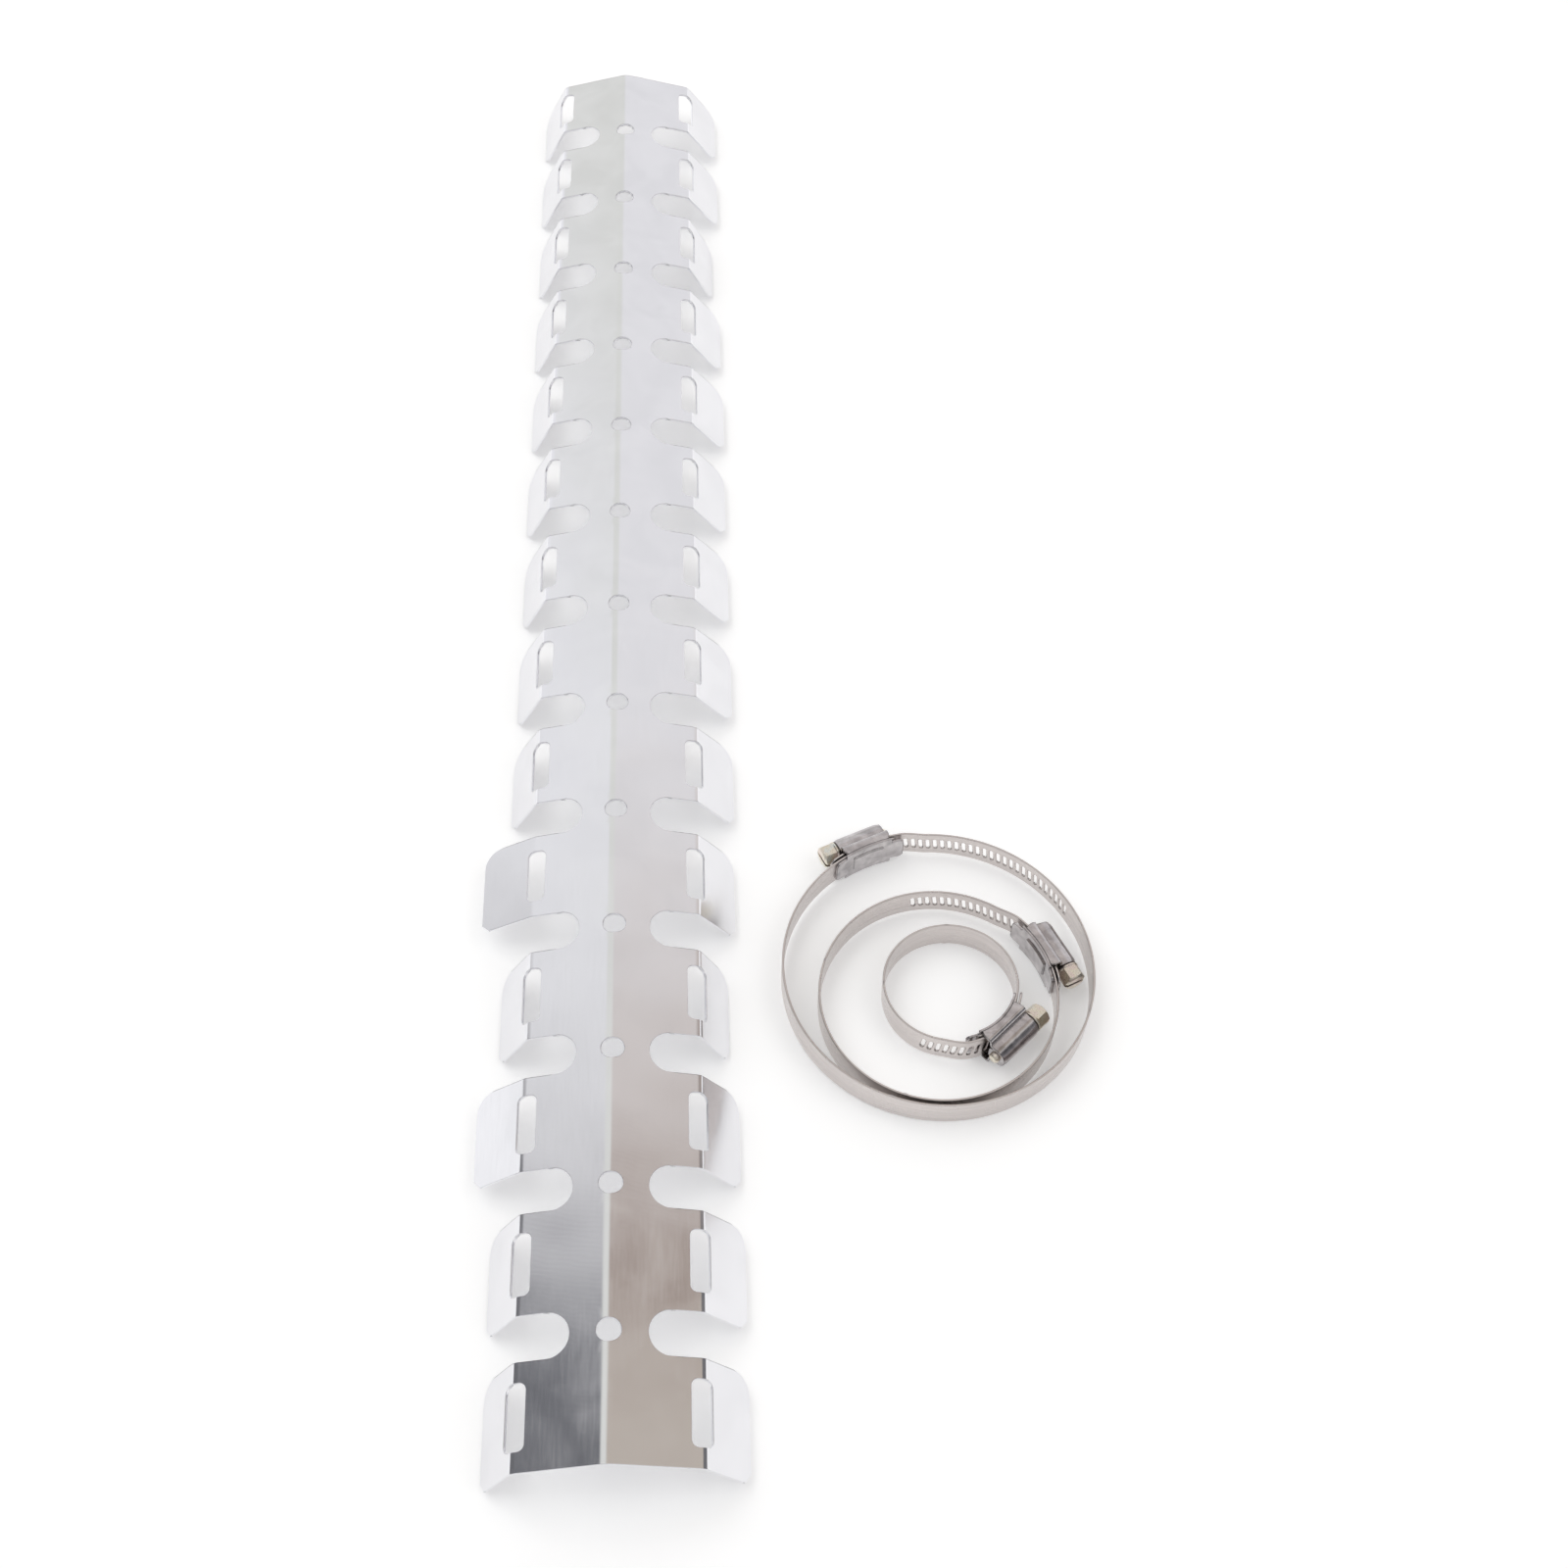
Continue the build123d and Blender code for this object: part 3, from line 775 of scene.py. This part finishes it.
# hexagon head as a height over its outline: flat, less a cone near the corners, less the slot
def screwHead(where, start):
    flat = screw["headFlats"] / 2
    slot, top = screw["driverSlot"] / 2, screw["headLength"]
    outer = np.concatenate([[slot], np.linspace(slot + 0.05, flat, 12)])
    rows = np.concatenate([-outer[::-1], [-slot, slot], outer])
    cutRows = np.zeros(len(rows), bool)
    cutRows[len(outer):len(outer) + 2] = True
    shares = crowded(-1, 1, 30)
    reach = (2 * flat - abs(rows)) / math.sqrt(3)
    side = reach[:, None] * shares[None, :]
    up = np.repeat(rows[:, None], len(shares), 1)
    away = np.hypot(side, up)
    height = np.minimum(top, top - (away - (flat - screw["headChamfer"])) * screw["headSlope"])
    height = np.where(cutRows[:, None], np.minimum(height, top - screw["driverDepth"]), height)
    count = rows.size * shares.size
    axis = axisRadius(where["radius"])

    def lay(level):
        local = np.stack([axis + side, start + level, clamp["bandHeight"] / 2 + up], -1)
        return toRow(where, local.reshape(-1, 3))

    places = np.concatenate([lay(height), lay(np.zeros_like(height))])
    index = np.arange(count).reshape(rows.size, shares.size)
    quads = gridQuads(index)
    loop = np.concatenate([index[0, :-1], index[:-1, -1], index[-1, ::-1][:-1], index[::-1, 0][:-1]])
    following = np.roll(loop, -1)
    sides = np.stack([loop, loop + count, following + count, following], 1)
    return places, np.concatenate([quads, quads[:, ::-1] + count, sides])


endWall = {
    "journalGap": 0.08,
    "tunnelGap": 0.02,
    "bandGap": 0.1,
    "inset": 0.05,
}


# the wall at each end of the tunnel: from the journal's hole out to the tunnel, cut flat below
def buildEndWalls(where):
    radius = where["radius"]
    axis, wall = axisRadius(radius), clamp["wall"]
    shoulder = radius + clamp["layer"] + clamp["band"] / 2 + clamp["shoulderGap"]
    angle = np.linspace(0, 2 * np.pi, 65)[:-1]
    hole = clamp["journal"] + endWall["journalGap"]
    tunnel = clamp["wormRadius"] + clamp["tunnelGap"]
    outline = np.full_like(angle, tunnel - endWall["tunnelGap"])
    down = -np.sin(angle)
    cut = (axis - shoulder - endWall["bandGap"]) / np.maximum(down, 1e-6)
    outline = np.where(down > 0, np.minimum(outline, cut), outline)
    # the wall's section: the hole's two edges, then the outline's two
    shares = np.array([0, 0, 1, 1])
    levels = np.array([-0.5, 0.5, 0.5, -0.5]) * wall
    pieces, faces = [], []
    for base, end in ((0, -1), (4 * len(angle), 1)):
        middle = end * (clamp["housingLength"] / 2 - wall / 2 - endWall["inset"])
        reach = hole + (outline[None, :] - hole) * shares[:, None]
        along = np.repeat((middle + levels)[:, None], len(angle), 1)
        turn = np.repeat(angle[None, :], 4, 0)
        pieces.append(screwPoints(where, along, reach, turn))
        faces.append(wrapFaces(4, len(angle), base, ring=True))
    piece = makeMesh(where["name"] + "_end_walls", np.concatenate(pieces), np.concatenate(faces))
    faceOutwards(piece)
    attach(piece, where["name"] + "_housing")
    return piece


bandPieces, coverPieces, screwPieces = [], [], []
for name in ("large_clamp", "medium_clamp", "small_clamp"):
    where = clampFrame(name)
    bandPieces += buildBand(where)
    coverPieces += [buildHousing(where), buildSaddle(where), buildEndWalls(where)]
    screwPieces.append(buildScrew(where))
counts = [len(pieces) for pieces in (bandPieces, coverPieces, screwPieces)]
print("clamps: {} strap pieces, {} cover pieces, {} screws".format(*counts))


# finishes

def newMaterial(name):
    made = bpy.data.materials.new(name)
    made.use_nodes = True
    tree = made.node_tree
    shader = tree.nodes["Principled BSDF"]
    return made, tree, shader


def node(tree, kind, **settings):
    made = tree.nodes.new(kind)
    for key, value in settings.items():
        if key in made.inputs:
            made.inputs[key].default_value = value
        else:
            setattr(made, key, value)
    return made


def link(tree, source, target):
    tree.links.new(source, target)


# a pattern's number, moved from the range it comes in to the range that a finish needs
def ranged(tree, source, fromLow, fromHigh, low, high):
    change = node(tree, "ShaderNodeMapRange")
    ends = {"From Min": fromLow, "From Max": fromHigh, "To Min": low, "To Max": high}
    for socket, value in ends.items():
        change.inputs[socket].default_value = value
    link(tree, source, change.inputs["Value"])
    return change.outputs["Result"]


def noise(tree, coordinates, scale, stretch=(1, 1, 1), detail=3.0, distortion=0.0):
    mapping = node(tree, "ShaderNodeMapping")
    mapping.inputs["Scale"].default_value = stretch
    link(tree, coordinates, mapping.inputs["Vector"])
    made = node(tree, "ShaderNodeTexNoise")
    made.inputs["Scale"].default_value = scale
    made.inputs["Detail"].default_value = detail
    made.inputs["Distortion"].default_value = distortion
    link(tree, mapping.outputs["Vector"], made.inputs["Vector"])
    return made.outputs["Fac"]


def mixColours(tree, factor, first, second):
    mix = node(tree, "ShaderNodeMix", data_type="RGBA")
    for socket, value in (("A", first), ("B", second)):
        target = [item for item in mix.inputs if item.name == socket and item.type == "RGBA"][0]
        if isinstance(value, tuple):
            target.default_value = (*value, 1)
        else:
            link(tree, value, target)
    link(tree, factor, mix.inputs["Factor"])
    return [item for item in mix.outputs if item.type == "RGBA"][0]


def bump(tree, shader, layers):
    previous = None
    for height, distance in layers:
        made = node(tree, "ShaderNodeBump")
        made.inputs["Strength"].default_value = 1.0
        made.inputs["Distance"].default_value = distance
        link(tree, height, made.inputs["Height"])
        if previous:
            link(tree, previous, made.inputs["Normal"])
        previous = made.outputs["Normal"]
    link(tree, previous, shader.inputs["Normal"])


# mirror-polished stainless: soft waves from pressing, polishing swirls and hairlines
def polishedSteel():
    made, tree, shader = newMaterial("polished_steel")
    place = node(tree, "ShaderNodeTexCoord").outputs["Object"]
    shader.inputs["Metallic"].default_value = 1.0
    waves = noise(tree, place, 28, detail=1.0)
    haze = noise(tree, place, 60, detail=4.0, distortion=0.6)
    hairlines = noise(tree, place, 1500, stretch=(1, 0.08, 1), detail=2.0)
    swirl = node(tree, "ShaderNodeTexWave", wave_type="RINGS", rings_direction="SPHERICAL")
    swirl.inputs["Scale"].default_value = 220
    swirl.inputs["Distortion"].default_value = 5
    swirl.inputs["Detail"].default_value = 2
    link(tree, place, swirl.inputs["Vector"])
    tint = mixColours(tree, ranged(tree, haze, 0.35, 0.65, 0, 1), (0.80, 0.80, 0.825), (0.845, 0.845, 0.87))
    link(tree, tint, shader.inputs["Base Color"])
    rough = node(tree, "ShaderNodeMath", operation="ADD")
    link(tree, ranged(tree, haze, 0.3, 0.7, 0.10, 0.18), rough.inputs[0])
    link(tree, ranged(tree, hairlines, 0.4, 0.8, 0.0, 0.04), rough.inputs[1])
    link(tree, rough.outputs[0], shader.inputs["Roughness"])
    bump(tree, shader, [(waves, 0.00035), (swirl.outputs["Fac"], 0.0000005), (hairlines, 0.0000006)])
    return made


# rolled strip: fine lines along the band and a little haze
def bandSteel():
    made, tree, shader = newMaterial("band_steel")
    flat = node(tree, "ShaderNodeUVMap", uv_map="flat").outputs["UV"]
    shader.inputs["Metallic"].default_value = 1.0
    lines = noise(tree, flat, 1000, stretch=(0.02, 2.2, 1), detail=4.0)
    haze = noise(tree, flat, 90, detail=3.0)
    tint = mixColours(tree, ranged(tree, lines, 0.3, 0.7, 0, 1), (0.60, 0.558, 0.543), (0.74, 0.69, 0.67))
    link(tree, tint, shader.inputs["Base Color"])
    rough = node(tree, "ShaderNodeMath", operation="ADD")
    link(tree, ranged(tree, haze, 0.3, 0.7, 0.20, 0.30), rough.inputs[0])
    link(tree, ranged(tree, lines, 0.3, 0.7, 0.0, 0.07), rough.inputs[1])
    link(tree, rough.outputs[0], shader.inputs["Roughness"])
    bump(tree, shader, [(lines, 0.000006)])
    return made


# stamped cover and base: satin with tumbling marks
def housingSteel():
    made, tree, shader = newMaterial("housing_steel")
    place = node(tree, "ShaderNodeTexCoord").outputs["Object"]
    shader.inputs["Metallic"].default_value = 1.0
    haze = noise(tree, place, 260, detail=4.0, distortion=0.4)
    grain = noise(tree, place, 2600, detail=2.0)
    tint = mixColours(tree, ranged(tree, haze, 0.3, 0.7, 0, 1), (0.38, 0.36, 0.365), (0.66, 0.63, 0.635))
    link(tree, tint, shader.inputs["Base Color"])
    link(tree, ranged(tree, haze, 0.3, 0.7, 0.13, 0.24), shader.inputs["Roughness"])
    bump(tree, shader, [(haze, 0.00006), (grain, 0.000008)])
    return made


# zinc plated and passivated: straw yellow with rosy and greenish patches
def screwZinc():
    made, tree, shader = newMaterial("screw_zinc")
    place = node(tree, "ShaderNodeTexCoord").outputs["Object"]
    shader.inputs["Metallic"].default_value = 1.0
    patches = noise(tree, place, 230, detail=3.0, distortion=0.8)
    grain = noise(tree, place, 3000, detail=2.0)
    straw = mixColours(tree, ranged(tree, patches, 0.38, 0.52, 0, 1), (0.79, 0.69, 0.64), (0.81, 0.76, 0.64))
    tint = mixColours(tree, ranged(tree, patches, 0.55, 0.68, 0, 1), straw, (0.78, 0.80, 0.76))
    link(tree, tint, shader.inputs["Base Color"])
    link(tree, ranged(tree, grain, 0.3, 0.7, 0.24, 0.36), shader.inputs["Roughness"])
    bump(tree, shader, [(grain, 0.000012)])
    return made


finishes = {
    "polished_steel": (polishedSteel(), segmentPieces + neckPieces),
    "band_steel": (bandSteel(), bandPieces),
    "housing_steel": (housingSteel(), coverPieces),
    "screw_zinc": (screwZinc(), screwPieces),
}
for finish, pieces in finishes.values():
    for piece in pieces:
        piece.data.materials.clear()
        piece.data.materials.append(finish)
print("finishes:", ", ".join(finishes))


# floor, light and camera

studio = {
    "floorHalf": 6.0,
    "floorColour": (0.90, 0.90, 0.90),
    "floorGlow": 0.25,
    "horizon": (1.12, 1.12, 1.13),
    "strip": (0.80, 0.805, 0.77),
    "stripMiddle": -0.22,    # the strip is a little to the left
    "stripHalfWidth": (0.11, 0.20),
    "reach": 0.25,           # how much further back the dark band goes at the sides
    "reachFrom": 0.45,
    "sidesMeet": (-0.25, -0.05),
    "wall": (0.16, 0.16, 0.17),      # a dark band far out to the left and right
    "wallFrom": (0.56, 0.64),
    "wallUntil": (0.40, 0.47),
    "behind": (0.45, 0.45, 0.46),    # on the viewer's side of the table
    "behindFrom": (-0.36, -0.22),
    "horizonHeight": (0.16, 0.22),
    # what hangs over the table, from straight above (0) to the far wall (1): position, colour
    "overLeft": [
        (0.10, (0.95, 0.95, 0.96)), (0.20, (0.16, 0.16, 0.17)), (0.34, (0.17, 0.175, 0.19)),
        (0.40, (0.66, 0.65, 0.66)), (0.47, (0.86, 0.86, 0.87)), (0.62, (0.93, 0.93, 0.95)),
    ],
    "overRight": [
        (0.10, (0.95, 0.94, 0.92)), (0.20, (0.58, 0.53, 0.46)), (0.33, (0.58, 0.52, 0.46)),
        (0.385, (0.36, 0.285, 0.245)), (0.45, (0.68, 0.62, 0.585)), (0.62, (0.88, 0.875, 0.89)),
    ],
    "key": {"energy": 11.0, "size": 1.6, "at": (-1.1, 0.3, 1.6)},
    "fill": {"energy": 5.0, "size": 1.4, "at": (1.2, -0.4, 1.2)},
}


def buildFloor():
    side = studio["floorHalf"]
    mesh = bpy.data.meshes.new("studio_floor")
    corners = [(-side, -side, 0), (side, -side, 0), (side, side, 0), (-side, side, 0)]
    mesh.from_pydata(corners, [], [(0, 1, 2, 3)])
    floor = bpy.data.objects.new("studio_floor", mesh)
    bpy.context.scene.collection.objects.link(floor)
    made, _, shader = newMaterial("studio_floor")
    shader.inputs["Base Color"].default_value = (*studio["floorColour"], 1)
    shader.inputs["Roughness"].default_value = 0.9
    shader.inputs["Specular IOR Level"].default_value = 0.0
    shader.inputs["Emission Color"].default_value = (1, 1, 1, 1)
    shader.inputs["Emission Strength"].default_value = studio["floorGlow"]
    mesh.materials.append(made)


def ramp(tree, factor, stops):
    made = node(tree, "ShaderNodeValToRGB")
    elements = made.color_ramp.elements
    while len(elements) < len(stops):
        elements.new(0.5)
    for element, (position, colour) in zip(elements, stops):
        element.position = position
        element.color = (*colour, 1)
    link(tree, factor, made.inputs["Fac"])
    return made.outputs["Color"]


def calculate(tree, operation, first, second, third=0.0):
    made = node(tree, "ShaderNodeMath", operation=operation)
    for socket, value in zip(made.inputs, (first, second, third)):
        if isinstance(value, (int, float)):
            socket.default_value = value
        else:
            link(tree, value, socket)
    return made.outputs[0]


# the world's colour goes by direction: x to the right, y to the far wall, z up. Overhead a dark band
# crosses the table, charcoal on the left and brown on the right, with a light strip along the middle.
# It is dark again far out at both sides, grey behind the viewer and white near the horizon.
# back = y - reach x how far the direction's x is beyond the panels' own reflections
def buildSurroundings():
    world = bpy.data.worlds.new("studio")
    bpy.context.scene.world = world
    world.use_nodes = True
    tree = world.node_tree
    background = tree.nodes["Background"]
    apart = node(tree, "ShaderNodeSeparateXYZ")
    link(tree, node(tree, "ShaderNodeTexCoord").outputs["Generated"], apart.inputs["Vector"])
    x, y, z = (apart.outputs[axis] for axis in "XYZ")
    aside = calculate(tree, "ABSOLUTE", x, 0.0)
    beyond = calculate(tree, "MAXIMUM", calculate(tree, "SUBTRACT", aside, studio["reachFrom"]), 0.0)
    back = calculate(tree, "MULTIPLY_ADD", beyond, -studio["reach"], y)
    sides = [ramp(tree, back, studio[key]) for key in ("overLeft", "overRight")]
    over = mixColours(tree, ranged(tree, x, *studio["sidesMeet"], 0, 1), *sides)
    fromStrip = calculate(tree, "ABSOLUTE", calculate(tree, "SUBTRACT", x, studio["stripMiddle"]), 0.0)
    over = mixColours(tree, ranged(tree, fromStrip, *studio["stripHalfWidth"], 0, 1), studio["strip"], over)
    outside = ranged(tree, aside, *studio["wallFrom"], 0, 1)
    walls = calculate(tree, "MULTIPLY", outside, ranged(tree, y, *studio["wallUntil"], 1, 0))
    over = mixColours(tree, walls, over, studio["wall"])
    over = mixColours(tree, ranged(tree, y, *studio["behindFrom"], 1, 0), over, studio["behind"])
    colour = mixColours(tree, ranged(tree, z, *studio["horizonHeight"], 0, 1), studio["horizon"], over)
    link(tree, colour, background.inputs["Color"])


def addLight(name, settings):
    light = bpy.data.lights.new(name, "AREA")
    light.energy, light.size = settings["energy"], settings["size"]
    lamp = bpy.data.objects.new(name, light)
    lamp.location = settings["at"]
    lamp.rotation_euler = (-Vector(settings["at"])).to_track_quat("-Z", "Y").to_euler()
    lamp.visible_glossy = False
    bpy.context.scene.collection.objects.link(lamp)


def addCamera():
    camera = bpy.data.cameras.new("studio_camera")
    camera.lens, camera.sensor_width = view["lens"], view["sensor"]
    camera.clip_start, camera.clip_end = 0.01, 50
    holder = bpy.data.objects.new("studio_camera", camera)
    right, forward = Vector(view["right"]).normalized(), Vector(view["forward"]).normalized()
    up = right.cross(forward)
    at = Vector((ridgeX, nearEnd, 0)) + Vector(view["fromNearEnd"])
    holder.matrix_world = Matrix((
        (right.x, up.x, -forward.x, at.x * mm),
        (right.y, up.y, -forward.y, at.y * mm),
        (right.z, up.z, -forward.z, at.z * mm),
        (0, 0, 0, 1),
    ))
    bpy.context.scene.collection.objects.link(holder)
    bpy.context.scene.camera = holder


buildFloor()
buildSurroundings()
addLight("key", studio["key"])
addLight("fill", studio["fill"])
addCamera()
bpy.context.scene.view_settings.view_transform = "Standard"
bpy.context.scene.view_settings.look = "None"
print("studio: floor, surroundings, two lights and the camera")
